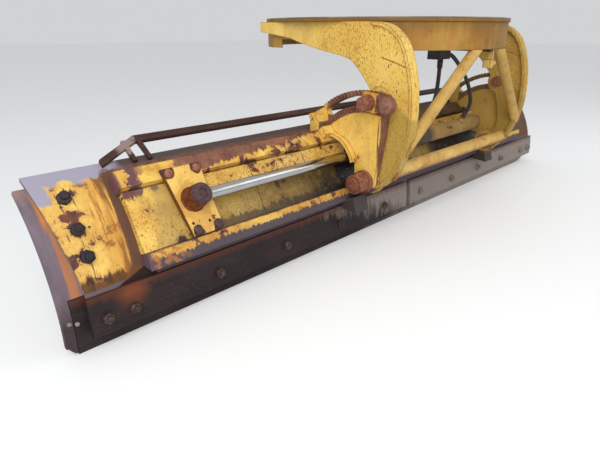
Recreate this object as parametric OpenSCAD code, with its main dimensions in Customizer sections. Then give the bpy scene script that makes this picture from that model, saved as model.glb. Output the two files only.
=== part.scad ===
// Blade group of a motor grader: toothed circle, two curved arms, serrated tip
// quadrants, side-shift cylinder and a curved blade with its bolted edges.
// Millimetres. +X to the machine's right, +Y to its front, +Z up.
// Origin: centre of the circle's top face.

/* [Circle] */
// outside radius of the circle's skirt
ring_radius = 552; // [500:1:600]
// radial depth of the circle, from its skirt to its guide bore
ring_depth = 104; // [96:1:120]
// height of the skirt
ring_height = 120; // [90:1:140]
// number of internal teeth
ring_teeth = 64; // [48:1:90]

/* [Arms] */
// thickness of an arm's web
arm_web = 22; // [16:1:26]
// width of the strip along an arm's outer edge
arm_strip = 46; // [36:1:80]

/* [Quadrants] */
// thickness of a quadrant's web
quadrant_web = 30; // [20:1:36]
// radius of the clamp slot about the tip hinge
slot_radius = 313; // [300:1:325]
// width of the clamp slot
slot_width = 34; // [30:1:38]

/* [Blade] */
// depth of the centre of the blade's curve
curve_y = 216; // [200:1:230]
// height of the centre of the blade's curve
curve_z = -814; // [-860:1:-780]
// radius of the blade's back
blade_radius = 491; // [470:1:510]
// thickness of the blade
blade_web = 16; // [12:1:20]
// left end of the blade at its top
blade_left = -1703; // [-1780:1:-1650]
// right end of the blade
blade_right = 1372; // [1300:1:1450]

/* [Side shift] */
// radius of the piston rod
rod_radius = 20; // [15:1:25]
// radius of the barrel
barrel_radius = 37.5; // [34:0.5:42]

/* [Hidden] */

$fa = 6;
$fs = 1;
fine = 240;

yellow = [0.80, 0.58, 0.14];
rust = [0.30, 0.16, 0.11];
steel = [0.42, 0.38, 0.38];
chrome = [0.80, 0.82, 0.84];
black = [0.03, 0.03, 0.035];

pin_radius = 24;
bolt_radius = 14;
run_gap = 0.05;
seat_gap = 0.3;
slide_gap = 0.5;
side_gap = 5;
bolt_back = 4.6;
tip_range = 40;
flange = 16;
lip = 6;
skirt = 22;
tooth_height = 22;

// Places that follow from the sizes above.
ring_bore = ring_radius - ring_depth;
arm_inside = ring_radius - 52;
quadrant_inside = arm_inside + arm_web + side_gap + 5;
quadrant_outside = quadrant_inside + quadrant_web;
rim_outside = quadrant_outside + 26;
shoe_outside = quadrant_inside + 84;
rail_inside = blade_radius - 6;
rail_outside = blade_radius + 42;
lower_outside = blade_radius + 49;
rod_orbit = blade_radius + 69;
rod_angle = 31.8;
drawn_radius = 491;
drawn_pivot = [-349, -606];
size = blade_radius / drawn_radius;

// A point at radius r and angle a on the blade's curve.
function on_curve(r, a) = [curve_y - r * cos(a), curve_z + r * sin(a)];

pivot = on_curve(blade_radius + 111, 20.21);
rod = on_curve(rod_orbit, rod_angle);

// A point at radius r and angle f forward of vertical about the tip hinge.
function on_tip(r, f) = pivot + r * [sin(f), cos(f)];

bolt = on_tip(slot_radius, -bolt_back);

// An arm's outline is drawn for one height of the tip hinge and stretches to it.
function to_arm(p) = [p[0] * pivot[0] / drawn_pivot[0], p[1] * pivot[1] / drawn_pivot[1]];

// A quadrant's outline is drawn about the tip hinge and grows with the blade.
function to_quadrant(p) = pivot + size * (p - drawn_pivot);

// One point of a smooth curve through p at step t between p[i] and p[i + 1].
function smooth_point(p, i, t) =
    let (n = len(p), a = p[max(i - 1, 0)], b = p[i], c = p[min(i + 1, n - 1)], d = p[min(i + 2, n - 1)])
    0.5 * (2 * b + (c - a) * t + (2 * a - 5 * b + 4 * c - d) * t * t
        + (3 * b - a - 3 * c + d) * t * t * t);

// A smooth curve through p with n steps between two points.
function smooth(p, n) = concat([for (i = [0 : len(p) - 2], k = [0 : n - 1]) smooth_point(p, i, k / n)],
    [p[len(p) - 1]]);

// The curve p moved sideways by d to its right.
function beside(p, d) = [for (i = [0 : len(p) - 1])
    let (a = p[max(i - 1, 0)], b = p[min(i + 1, len(p) - 1)], t = (b - a) / norm(b - a))
    p[i] + d * [t[1], -t[0]]];

function backwards(p) = [for (i = [len(p) - 1 : -1 : 0]) p[i]];

// A profile in Y and Z, drawn from x0 over a length along +X.
module along(x0, length) {
    translate([x0, 0, 0]) rotate([90, 0, 90]) linear_extrude(length) children();
}

// A round bar along X about a point in Y and Z.
module bar(x0, length, r, at, sides = 0) {
    translate([x0, at[0], at[1]]) rotate([0, 90, 0]) cylinder(h = length, r = r, $fn = sides);
}

// A curved strip on the blade's curve, between two ends along X.
module curved(r0, r1, a0, a1, x0, x1) {
    translate([x0, curve_y, curve_z]) rotate([90, 0, 90]) rotate([0, 0, 180 - a1])
        rotate_extrude(angle = a1 - a0, $fn = fine) translate([r0, 0]) square([r1 - r0, x1 - x0]);
}

// A band about the tip hinge between two angles forward of vertical.
module tip_band(r0, r1, f0, f1, x0, length) {
    translate([x0, pivot[0], pivot[1]]) rotate([90, 0, 90]) rotate([0, 0, 90 - f1])
        rotate_extrude(angle = f1 - f0) translate([r0, 0]) square([r1 - r0, length]);
}

module on_side(side) {
    if (side < 0) mirror([1, 0, 0]) children();
    else children();
}

/* Circle frame */

module circle_ring() {
    tooth = 360 / ring_teeth;
    root = ring_bore + 6 + tooth_height;
    tip = ring_bore + 6;
    land = 20;
    teeth_deep = 66;
    color(yellow) difference() {
        union() {
            rotate_extrude() polygon([[ring_bore, -teeth_deep - land], [ring_bore, -teeth_deep],
                [root + 8, -teeth_deep], [root + 8, 0], [ring_radius + lip, 0],
                [ring_radius + lip, -flange], [ring_radius, -flange], [ring_radius, -ring_height],
                [ring_radius - skirt, -ring_height], [ring_radius - skirt, -teeth_deep - land]]);
            translate([0, 0, -teeth_deep]) linear_extrude(teeth_deep) difference() {
                circle(r = root + 8);
                polygon([for (k = [0 : ring_teeth - 1], s = [[-0.36, root], [-0.16, tip], [0.16, tip],
                    [0.36, root]]) let (a = (k + s[0]) * tooth) s[1] * [cos(a), sin(a)]]);
            }
        }
        for (side = [-1, 1]) translate([side > 0 ? arm_inside : -arm_inside - skirt - 40, -400, -200])
            cube([skirt + 40, 800, 200 - flange]);
    }
}

arm_outer = smooth([for (p = [[-256, -flange], [-300, -17], [-368, -24], [-413, -44], [-459, -88],
    [-490, -158], [-511, -245], [-518, -350], [-512, -423], [-496, -483], [-471, -546],
    [-438, -593], [-400, -632], [-352, -664]]) to_arm(p)], 3);
arm_inner = smooth([for (p = [[295, -56], [118, -79], [58, -94], [-67, -122], [-137, -133],
    [-218, -151], [-256, -179], [-299, -223], [-332, -268], [-364, -330], [-386, -400],
    [-398, -460], [-398, -520], [-378, -560]]) to_arm(p)], 3);
arm_rim = [for (p = arm_outer) if (p[0] < -310 && p[1] > pivot[1] - 32) p];

module arm() {
    color(yellow) difference() {
        union() {
            along(arm_inside, arm_web) polygon(concat([[295, -flange]], arm_inner, [pivot],
                backwards(arm_outer)));
            bar(arm_inside, arm_web, 58, pivot);
            along(arm_inside + arm_web - arm_strip, arm_strip + side_gap) polygon(concat(arm_rim,
                backwards(beside(arm_rim, -12))));
            bar(arm_inside, arm_web + 7, 52, bolt);
        }
        bar(0, 2 * arm_inside, pin_radius + seat_gap, pivot);
        bar(0, 2 * arm_inside, bolt_radius + seat_gap, bolt);
    }
}

module arm_left() { on_side(-1) arm(); }

module arm_right() { arm(); }

module cross_tube() {
    color(yellow) difference() {
        bar(-arm_inside, 2 * arm_inside, 28, pivot + [-85, 40]);
        for (side = [-1, 1]) on_side(side) arm();
    }
}

module brace() {
    top = [105, -ring_radius + 24, -ring_height];
    foot = [arm_inside, pivot[0] - 141, pivot[1] + 141];
    d = foot - top;
    color(yellow) difference() {
        intersection() {
            translate(top) rotate([0, acos(d[2] / norm(d)), atan2(d[1], d[0])])
                translate([0, 0, -40]) cylinder(h = norm(d) + 80, r = 23);
            translate([2, -2 * ring_radius, pivot[1] - 100])
                cube([arm_inside - 2, 2 * ring_radius, -pivot[1] + 100 - ring_height]);
        }
        arm();
    }
}

module brace_left() { on_side(-1) brace(); }

module brace_right() { brace(); }

// A lug under the circle between the braces, with a pin across it.
module brace_lug() {
    y = -ring_radius + 8;
    color(yellow) {
        translate([14, y, -ring_height - 54]) cube([14, 20, 54]);
        translate([-10, y - 6, -ring_height - 74]) cube([32, 32, 32]);
        bar(-10, 72, 9, [y + 10, -ring_height - 58]);
    }
}

module pivot_pin() {
    color(rust) {
        bar(arm_inside - 16, quadrant_outside + 70 - arm_inside + 16, pin_radius - run_gap, pivot);
        bar(arm_inside - 16, 15.7, 40, pivot);
        bar(quadrant_outside + slide_gap, 16, 46, pivot);
        bar(quadrant_outside + slide_gap + 16, 44, 42, pivot, 6);
    }
}

module pivot_pin_left() { on_side(-1) pivot_pin(); }

module pivot_pin_right() { pivot_pin(); }

// A clamp bolt, its serrated block and its nut, on the outside of a quadrant.
module clamp_bolt() {
    block = quadrant_outside + 10;
    color(rust) {
        bar(arm_inside - 22, block - arm_inside + 80, bolt_radius - run_gap, bolt);
        bar(arm_inside - 22, 21.7, 27, bolt, 6);
        translate([block, bolt[0], bolt[1]]) rotate([bolt_back, 0, 0])
            translate([0, -31, -34]) cube([20, 62, 68]);
        bar(block + 20, 6, 30, bolt);
        bar(block + 26, 32, 29, bolt, 6);
    }
}

module clamp_bolt_left() { on_side(-1) clamp_bolt(); }

module clamp_bolt_right() { clamp_bolt(); }

// The tail of a clamp block: a fork that takes the block's edge, on a round boss.
module clamp_keeper() {
    front = quadrant_outside + 10;
    tail = bolt + [-78, -4];
    color(rust) difference() {
        union() {
            bar(front, 24, 32, tail);
            for (side = [-1, 1]) translate([front + 2, tail[0], tail[1]])
                rotate([bolt_back, 0, 0]) translate([0, 4, side * 20 - 9]) cube([18, 42.4, 18]);
        }
        bar(front + 6, front, 8, tail);
    }
}

module clamp_keeper_left() { on_side(-1) clamp_keeper(); }

module clamp_keeper_right() { clamp_keeper(); }

port_y = -308;
port_z = -170;
ports = [[14, port_y, port_z - 6.5], [50.8, port_y, port_z + 20]];

// The block where the hoses leave, on a strut from the circle's skirt.
module manifold() {
    color(black) {
        translate([-12, -ring_radius + 8, -ring_height - 10]) cube([26, 320, 10]);
        translate([-50, port_y - 30, port_z + 2]) cube([94, 60, -ring_height - 10 - port_z - 2]);
        translate([ports[0][0], port_y, port_z - 6]) cylinder(h = 10, r = 13, $fn = 6);
        bar(42, 8, 13, [port_y, ports[1][2]], 6);
    }
}

function cross3(a, b) = [a[1] * b[2] - a[2] * b[1], a[2] * b[0] - a[0] * b[2],
    a[0] * b[1] - a[1] * b[0]];

function unit(v) = v / norm(v);

// A round hose along a path, as rings of m points.
module hose(path, r, m = 12) {
    n = len(path);
    points = [for (i = [0 : n - 1]) let (t = unit(path[min(i + 1, n - 1)] - path[max(i - 1, 0)]),
        s = unit(cross3(t, [1, 0, 0.2])), w = cross3(s, t))
        for (k = [0 : m - 1]) path[i] + r * (cos(360 * k / m) * s + sin(360 * k / m) * w)];
    sides = [for (i = [0 : n - 2], k = [0 : m - 1])
        [i * m + k, i * m + (k + 1) % m, (i + 1) * m + (k + 1) % m, (i + 1) * m + k]];
    polyhedron(points, concat([[for (k = [m - 1 : -1 : 0]) k]], sides,
        [[for (k = [0 : m - 1]) (n - 1) * m + k]]), convexity = 6);
}

hose_radius = 9;
barrel_ports = [-150, 330];
port_tilt = 30;
port_reach = barrel_radius + 24.9;
port_up = [0, -sin(port_tilt), cos(port_tilt)];

// The end of a hose on the barrel.
function barrel_end(k) = [barrel_ports[k], rod[0], rod[1]] + port_reach * port_up;

// The hoses' routes between their ends.
route_a = [[14, -308, -212], [6, -312, -256], [-15, -321, -308], [-46, -330, -349],
    [-84, -335, -383], [-124, -329, -410], [-150, -311, -430]];
route_b = [[84, -308, -150], [122, -311, -163], [166, -318, -195], [212, -326, -238],
    [256, -332, -288], [292, -333, -340], [320, -327, -388], [330, -311, -430]];

module hose_a() {
    color(black) hose(smooth(concat([ports[0]], route_a, [barrel_end(0)]), 2), hose_radius);
}

module hose_b() {
    color(black) hose(smooth(concat([ports[1]], route_b, [barrel_end(1)]), 2), hose_radius);
}

/* Tip carrier */

quadrant_front = smooth([for (p = [[-66, -370], [-86, -406], [-119, -432], [-188, -444],
    [-249, -468], [-290, -520], [-298, -564], [-300, -590]]) to_quadrant(p)], 3);
quadrant_rim = [for (p = quadrant_front) if (p[1] > pivot[1] + 62 * size) p];

upper_rail_shape = [on_curve(rail_inside, 40.5), on_curve(rail_outside, 41),
    on_curve(rail_outside, 47.5), on_curve(rail_inside, 46)];
upper_way_shape = [on_curve(rail_inside - 20, 40.2), on_curve(rail_outside + slide_gap, 40.9),
    on_curve(rail_outside + slide_gap, 47.6), on_curve(rail_inside - 20, 45.6)];
lower_rail_shape = [on_curve(rail_inside, 16), on_curve(lower_outside, 14),
    on_curve(lower_outside, 19.5), on_curve(rail_inside, 19)];
upper_shoe_shape = [on_curve(blade_radius + 7, 42), on_curve(blade_radius + 69, 43),
    on_curve(blade_radius + 75, 52.5), on_curve(blade_radius + 38, 53), on_curve(blade_radius + 13, 51),
    on_curve(blade_radius + 7, 50)];
lower_hook_shape = [on_curve(blade_radius + 7, 15.42), on_curve(lower_outside + slide_gap, 13.93),
    on_curve(lower_outside + slide_gap, 15), on_curve(blade_radius + 84, 15),
    on_curve(blade_radius + 89, 8.5), on_curve(blade_radius + 21, 10.5)];
lower_shoe_shape = [on_curve(blade_radius + 7, 15.42), on_curve(lower_outside + slide_gap, 13.93),
    on_curve(lower_outside + slide_gap, 17), on_curve(blade_radius + 81, 17.5),
    on_curve(blade_radius + 89, 8.5), on_curve(blade_radius + 21, 10.5)];

// A quadrant, with the hooked shoes that the blade's rails ride in.
module quadrant() {
    x = quadrant_inside;
    top = slot_radius + 35;
    color(yellow) difference() {
        union() {
            along(x, quadrant_web) polygon(concat([on_tip(top, 40)], quadrant_front,
                [pivot, to_quadrant([-398, -596]), to_quadrant([-410, -507]),
                to_quadrant([-424, -420]), on_tip(top, -14)], [for (f = [-14 : 3 : 40]) on_tip(top, f)]));
            bar(x, quadrant_web, 52, pivot);
            along(x, rim_outside - x) polygon(concat(quadrant_rim, backwards(beside(quadrant_rim, 14))));
            along(x, shoe_outside - x) polygon(upper_shoe_shape);
            along(x, quadrant_web) polygon(lower_shoe_shape);
            along(x, shoe_outside - x) polygon(lower_hook_shape);
            for (k = [0 : 16], r = [slot_radius - 43, slot_radius + 19])
                tip_band(r, r + 20, -12 + 3 * k, -10.5 + 3 * k, quadrant_outside - 2, 9);
        }
        along(x - 1, 2 * x) polygon(upper_way_shape);
        tip_band(slot_radius - slot_width / 2, slot_radius + slot_width / 2, -bolt_back - 1,
            tip_range - bolt_back + 1, 0, 2 * x);
        for (f = [-bolt_back - 1, tip_range - bolt_back + 1])
            bar(0, 2 * x, slot_width / 2, on_tip(slot_radius, f));
        bar(0, 2 * x, pin_radius, pivot);
    }
}

module quadrant_left() { on_side(-1) quadrant(); }

module quadrant_right() {
    color(yellow) difference() {
        union() {
            quadrant();
            bar(quadrant_inside, rim_outside - quadrant_inside, barrel_radius + 13, rod);
        }
        bar(0, 2 * quadrant_inside, barrel_radius, rod);
        along(0, 2 * quadrant_inside) polygon(upper_way_shape);
    }
}

barrel_front = -quadrant_inside + 62;
barrel_back = rim_outside + 52;

module cylinder_barrel() {
    color(yellow) difference() {
        union() {
            bar(barrel_front, barrel_back - barrel_front, barrel_radius, rod);
            bar(barrel_back - 34, 34, barrel_radius + 8, rod);
            for (x = barrel_ports) translate([x, rod[0], rod[1]]) rotate([port_tilt, 0, 0])
                cylinder(h = barrel_radius + 24, r = 14);
        }
        bar(barrel_front - 1, barrel_back - barrel_front - 24, barrel_radius - 7.5, rod);
    }
}

module cylinder_gland() {
    color(rust) difference() {
        union() {
            bar(-quadrant_inside, 62 - seat_gap, barrel_radius + 7.5, rod);
            bar(barrel_front - 1, 41, barrel_radius - 7.5 - seat_gap, rod);
        }
        bar(-quadrant_inside - 1, 120, rod_radius + run_gap, rod);
    }
}

/* Blade */

blade_skew = 53;
strip_left = blade_left + 38;
split = -126;

module blade_plate() {
    low = on_curve(blade_radius, 0);
    top = on_curve(blade_radius, 55);
    color(yellow) difference() {
        curved(blade_radius - blade_web, blade_radius, -1, 55, blade_left, blade_right);
        translate([0, curve_y, 0]) rotate([90, 0, 0]) linear_extrude(2 * blade_radius)
            polygon([[blade_left - 1, top[1] + 1], [blade_left, top[1] + 1],
            [blade_left + blade_skew, low[1] + 60], [blade_left + blade_skew, low[1] - 90],
            [blade_left - 1, low[1] - 90]]);
    }
}

edge_web = 19;

module edge(x0, x1) {
    outer = blade_radius - blade_web - seat_gap;
    color(rust) curved(outer - edge_web, outer, -8, 12, x0, x1);
}

// What wear has rounded off at a lower corner, drawn in X and Z from the corner inwards.
module worn_corner(x, inwards, along_edge, up) {
    low = curve_z + blade_radius * sin(-8) + 3;
    translate([x, curve_y, low]) rotate([90, 0, 0]) linear_extrude(2 * blade_radius)
        polygon([for (p = [[-9, up], [0.1, up], [0.5, 0.3], [1, 0], [1, -0.6], [-9, -0.6]])
            [inwards * (p[0] < 0 ? p[0] : p[0] * along_edge), p[1] < 0 ? p[1] * 60 : (p[1] > 1
            ? p[1] : p[1] * up)]]);
}

module edge_left() { edge(blade_left + 4, split - 1); }

module edge_right() {
    color(rust) difference() {
        edge(split + 1, blade_right - 8);
        worn_corner(blade_right + 6, -1, 118, 44);
    }
}

module back_strip(x0, x1) {
    color(rust) curved(blade_radius + seat_gap, blade_radius + 16, -2, 11.5, x0, x1);
}

module back_strip_left() { back_strip(strip_left, split - 14); }

module back_strip_right() { back_strip(split + 14, blade_right); }

module end_plate(x0, x1, low_x0, low_x1) {
    outer = blade_radius - blade_web - seat_gap;
    color(steel) difference() {
        curved(outer - 16, outer, -8, 52, x0, x1);
        curved(outer - 40, outer + 20, -20, 12.4, low_x0, low_x1);
    }
}

module end_plate_left() {
    color(steel) difference() {
        end_plate(blade_left - 26, blade_left + 155, blade_left + 2, blade_left + 200);
        worn_corner(blade_left - 26, 1, 38, 30);
    }
}

module end_plate_right() {
    color(steel) difference() {
        end_plate(blade_right - 180, blade_right + 6, blade_right - 300, blade_right - 6);
        worn_corner(blade_right + 6, -1, 118, 44);
    }
}

rail_left = blade_left + 213;
rail_right = blade_right - 257;

// A rail on the blade's back, shaped to the curve that it sits on.
module rail(shape, x0, x1) {
    color(yellow) difference() {
        along(x0, x1 - x0) polygon(shape);
        bar(x0 - 1, x1 - x0 + 2, blade_radius + seat_gap, [curve_y, curve_z], fine);
    }
}

module upper_rail() { rail(upper_rail_shape, rail_left, rail_right); }

module lower_rail() { rail(lower_rail_shape, rail_left + 8, rail_right); }

// The flat cover between the rails, closed at both ends.
module back_plate() {
    outer = blade_radius + 25;
    x0 = rail_left + 10;
    x1 = rail_right - 5;
    color(yellow) difference() {
        union() {
            along(x0, x1 - x0) polygon([on_curve(outer - 6, 19.4), on_curve(outer, 19.45),
                on_curve(outer, 40.35), on_curve(outer - 6, 40.3)]);
            for (x = [x0, x1 - 10]) along(x, 10) polygon([on_curve(rail_inside, 19.25),
                on_curve(outer, 19.45), on_curve(outer, 40.35), on_curve(rail_inside, 40.25)]);
        }
        bar(x0 - 1, x1 - x0 + 2, blade_radius + seat_gap, [curve_y, curve_z], fine);
    }
}

stud_x = rail_left + 204;
anchor_left = rail_left + 136;
anchor_face = rod_orbit - rod_radius - 0.5;

// A frame on the blade's back at x: +Z away from the blade at the rod's angle.
module at_stud(x) {
    translate([x, curve_y, curve_z]) rotate([-rod_angle, 0, 0]) rotate([90, 0, 0]) children();
}

module anchor_plate() {
    color(yellow) difference() {
        union() {
            at_stud(anchor_left) translate([0, 0, anchor_face - 11.8]) linear_extrude(11.8)
                polygon([[24, -112], [137, -112], [137, 112], [0, 112]]);
            for (x = [26, 119]) at_stud(anchor_left + x) translate([0, -96, blade_radius + 12])
                cube([18, 192, 36]);
        }
        bar(anchor_left - 1, 200, blade_radius + 25, [curve_y, curve_z], fine);
        along(anchor_left - 1, 200) polygon(upper_rail_shape);
        along(anchor_left - 1, 200) polygon(lower_rail_shape);
    }
}

module ball_stud() {
    color(rust) at_stud(stud_x) {
        translate([0, 0, anchor_face]) cylinder(h = 3, r = 34);
        translate([0, 0, anchor_face]) cylinder(h = 45, r = 22);
        translate([0, 0, rod_orbit + 17.5]) cylinder(h = 18, r = 31);
        translate([0, 0, rod_orbit + 35.5]) cylinder(h = 8, r = 20);
    }
}

module rod_eye() {
    color(rust) difference() {
        union() {
            at_stud(stud_x) translate([0, 0, rod_orbit - 17]) cylinder(h = 34, r = 36);
            bar(stud_x + 20, 26, rod_radius, rod);
        }
        at_stud(stud_x) cylinder(h = 2 * rod_orbit, r = 22 + seat_gap);
        at_stud(stud_x) translate([0, 0, rod_orbit + 17.2]) cylinder(h = 60, r = 33);
        at_stud(stud_x) translate([0, 0, rod_orbit - 77.2]) cylinder(h = 60, r = 36);
    }
}

module piston_rod() {
    start = stud_x + 46 + seat_gap;
    inner = barrel_front + 350;
    color(chrome) {
        bar(start, inner - start, rod_radius, rod);
        bar(inner - 20, 30, barrel_radius - 7.6, rod);
    }
}

// The guard stands in the plane that touches the blade's back at its top edge.
module top_guard() {
    at = on_curve(blade_radius, 55);
    left = blade_left + 219;
    right = quadrant_inside + 170;
    color(rust) difference() {
        translate([0, at[0], at[1]]) rotate([90 - 55, 0, 0]) translate([0, 0, -3]) linear_extrude(15) {
            polygon([[left, -22], [left + 142, 52], [right - 142, 52], [right, -22], [right, 3],
                [right - 142, 77], [left + 142, 77], [left, 3]]);
            for (x = [left + 96, left + 147, left + 0.473 * (right - left), left + 0.679 * (right - left),
                right - 150]) translate([x, -24])
                square([14, 86]);
        }
        bar(2 * blade_left, 4 * blade_right, blade_radius + seat_gap, [curve_y, curve_z], fine);
    }
}

circle_ring();
arm_left();
arm_right();
cross_tube();
brace_left();
brace_right();
brace_lug();
pivot_pin_left();
pivot_pin_right();
clamp_bolt_left();
clamp_bolt_right();
clamp_keeper_left();
clamp_keeper_right();
manifold();
hose_a();
hose_b();
quadrant_left();
quadrant_right();
cylinder_barrel();
cylinder_gland();
blade_plate();
edge_left();
edge_right();
back_strip_left();
back_strip_right();
end_plate_left();
end_plate_right();
upper_rail();
lower_rail();
back_plate();
anchor_plate();
ball_stud();
rod_eye();
piston_rod();
top_guard();
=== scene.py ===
# %% [markdown]
# # The blade group of a motor grader
#
# This is the working end of a road grader: a toothed circle that turns under the machine, two
# curved arms that hang from it, and a long curved blade that tips and slides on them. The exact
# solids come from the CAD frame. What is left for Blender is the camera, the light, the old paint
# and bare steel, and the small things that CAD leaves out: nuts, bolt ends, hose ends and welds.

# %% Load the frame and keep its box
import math
from types import SimpleNamespace

import bmesh
import bpy
from mathutils import Matrix, Vector


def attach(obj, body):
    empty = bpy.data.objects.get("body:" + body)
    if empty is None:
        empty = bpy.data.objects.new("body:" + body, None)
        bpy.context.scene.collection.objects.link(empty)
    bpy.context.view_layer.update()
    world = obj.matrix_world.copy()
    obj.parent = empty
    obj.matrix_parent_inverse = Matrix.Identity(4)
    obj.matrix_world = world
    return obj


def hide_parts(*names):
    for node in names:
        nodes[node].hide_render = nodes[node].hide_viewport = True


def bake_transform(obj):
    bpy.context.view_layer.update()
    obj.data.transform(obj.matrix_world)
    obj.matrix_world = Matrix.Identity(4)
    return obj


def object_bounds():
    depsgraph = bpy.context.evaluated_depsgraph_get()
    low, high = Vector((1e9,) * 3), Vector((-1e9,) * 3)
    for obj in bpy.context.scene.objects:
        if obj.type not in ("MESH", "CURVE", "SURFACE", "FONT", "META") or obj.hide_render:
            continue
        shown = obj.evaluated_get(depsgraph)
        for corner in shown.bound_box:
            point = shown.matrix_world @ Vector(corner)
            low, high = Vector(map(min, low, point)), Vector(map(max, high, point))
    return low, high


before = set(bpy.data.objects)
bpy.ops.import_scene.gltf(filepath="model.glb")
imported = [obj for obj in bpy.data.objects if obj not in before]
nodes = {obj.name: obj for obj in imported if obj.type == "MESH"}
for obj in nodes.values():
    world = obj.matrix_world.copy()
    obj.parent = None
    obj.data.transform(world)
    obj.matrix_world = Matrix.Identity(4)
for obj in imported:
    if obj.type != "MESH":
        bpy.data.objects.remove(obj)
cad_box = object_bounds()
print("CAD box", cad_box)

# %% [markdown]
# ## The camera
#
# The photograph is taken from beside the left end of the blade, at about eye height, looking down
# along it. The camera stands at the photographer's eye in the machine's own frame. Its three
# directions are written out as columns, because a matrix says where right, up and forward point
# with no angles to convert.

# %% Camera
bpy.context.scene.view_settings.view_transform = "Standard"


def new_object(name, data):
    """Puts data in the scene as an object."""
    thing = bpy.data.objects.new(name, data)
    bpy.context.scene.collection.objects.link(thing)
    return thing


eye = (-2.062, -1.471, -0.043)
right, forward = Vector((0.702, -0.712, 0)), Vector((0.66, 0.651, -0.375)).normalized()
right = (right - right.dot(forward) * forward).normalized()
directions = Matrix((right, right.cross(forward), -forward)).transposed()
data = bpy.data.cameras.new("camera")
# The lens and the width of its sensor are in millimetres, and the far limit is in metres.
data.lens, data.sensor_width, data.clip_end = 29.1, 36, 100
camera = new_object("camera", data)
camera.matrix_world = Matrix.Translation(eye) @ directions.to_4x4()
bpy.context.scene.camera = camera

# %% [markdown]
# ## Small tools for modelling
#
# Blender's operators act on whatever is selected, so every piece starts from an empty selection.
# A finished piece keeps its place in its mesh, with its object at the origin, as the CAD nodes do.

# %% Helpers for pieces


def choose(*pieces):
    """Leaves edit mode and selects only these pieces, with the first one active."""
    if bpy.context.object and bpy.context.object.mode != "OBJECT":
        bpy.ops.object.mode_set(mode="OBJECT")
    bpy.ops.object.select_all(action="DESELECT")
    for piece in pieces:
        piece.select_set(True)
        bpy.context.view_layer.objects.active = pieces[0]


def edit_faces():
    """Enters edit mode with all faces selected."""
    bpy.ops.object.mode_set(mode="EDIT")
    bpy.ops.mesh.select_mode(type="FACE")
    bpy.ops.mesh.select_all(action="SELECT")


def pick_top(above):
    """In edit mode, selects the faces that look up and lie above a height."""
    bpy.ops.mesh.select_all(action="DESELECT")
    mesh = bmesh.from_edit_mesh(bpy.context.object.data)
    for face in mesh.faces:
        face.select = face.normal.z > 0.9 and face.calc_center_median().z > above
    mesh.select_flush_mode()
    bmesh.update_edit_mesh(bpy.context.object.data)


def finish_piece(piece, name, finish, body, smooth=35):
    """Applies the place, smooths, paints and hangs a piece on its body."""
    choose(piece)
    bpy.ops.object.transform_apply(location=True, rotation=True, scale=True)
    bpy.ops.object.shade_smooth_by_angle(angle=math.radians(smooth))
    piece.name = name
    piece.data.materials.clear()
    piece.data.materials.append(finish)
    if body:
        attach(piece, body)
    return piece


def turned(steps, sides=32):
    """Raises a disc through (radius, height) steps in mm, as a lathe would leave a round piece."""
    choose()
    (radius, height), *rest = [(wide / 1000, high / 1000) for wide, high in steps]
    bpy.ops.mesh.primitive_circle_add(vertices=sides, radius=radius, fill_type="NGON",
                                      location=(0, 0, height))
    bpy.ops.object.transform_apply(location=True)
    edit_faces()
    for wide, high in rest:
        bpy.ops.mesh.extrude_region_move(TRANSFORM_OT_translate={"value": (0, 0, high - height)})
        bpy.ops.transform.resize(value=(wide / radius, wide / radius, 1), center_override=(0, 0, 0))
        radius, height = wide, high
    bpy.ops.mesh.select_all(action="SELECT")
    bpy.ops.mesh.normals_make_consistent(inside=False)
    bpy.ops.object.mode_set(mode="OBJECT")
    return bpy.context.object


def put(piece, place):
    """Moves a piece's mesh to its place, and leaves its object at the origin."""
    piece.data.transform(place)
    return piece


def facing(at, normal, turn=0.0):
    """A matrix that stands a piece drawn along +Z on a surface."""
    spin = Vector((0, 0, 1)).rotation_difference(Vector(normal)).to_matrix().to_4x4()
    return Matrix.Translation(at) @ spin @ Matrix.Rotation(turn, 4, "Z")


def join(first, second):
    """Makes one piece of two."""
    choose(first, second)
    bpy.ops.object.join()
    return first


def copies(master, name, places, finish, body, smooth=35):
    """Copies a steel piece to each place, with a mesh of its own, and deletes the first one."""
    for i, place in enumerate(places):
        copy = put(new_object(name, master.data.copy()), place)
        own = finish[i] if isinstance(finish, list) else finish
        finish_piece(copy, f"{name}_{i + 1}", own, body, smooth=smooth)
    bpy.data.objects.remove(master)
    print(name, "x", len(places))


# %% [markdown]
# ## Finishes
#
# Old machine paint is never one colour. It fades in patches, chips down to brown steel at its
# edges, and rust washes down from every bare spot. Each finish below is built from a few noise
# patterns whose scale is set from the real size of the marks, and mixed with small maths nodes.

# %% Colour and node helpers


def linear(code):
    """An sRGB hex colour as Blender's linear colour."""
    values = [int(code[i : i + 2], 16) / 255 for i in (1, 3, 5)]
    return [v / 12.92 if v <= 0.04045 else ((v + 0.055) / 1.055) ** 2.4 for v in values] + [1.0]


def plug(node, values):
    """Fills a node's inputs, by name or number, with plain values or with links."""
    for key, value in values.items():
        if isinstance(value, bpy.types.NodeSocket):
            node.id_data.links.new(value, node.inputs[key])
        else:
            node.inputs[key].default_value = value


def add(kind, *ordered, out=0, tree=None, **named):
    """Adds a node beside the one it is linked to, and gives one of its outputs.

    The kind may name an operation. Inputs come in order or by name with a capital, settings by name
    in small letters. Only a node with no link has to be told its tree.
    """
    kind, _, operation = kind.partition(" ")
    inputs = {**dict(enumerate(ordered)), **{key: named[key] for key in named if key[0].isupper()}}
    linked = [value for value in inputs.values() if isinstance(value, bpy.types.NodeSocket)]
    node = (tree or linked[0].id_data).nodes.new("ShaderNode" + kind)
    if operation:
        node.operation = operation.upper()
    for key in named.keys() - inputs.keys():
        setattr(node, key, named[key])
    plug(node, inputs)
    return node.outputs[out]


def new_finish(name):
    """A material with its node tree and its shader."""
    material = bpy.data.materials.new(name)
    material.use_nodes = True
    tree = material.node_tree
    return material, tree, tree.nodes["Principled BSDF"]


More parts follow.
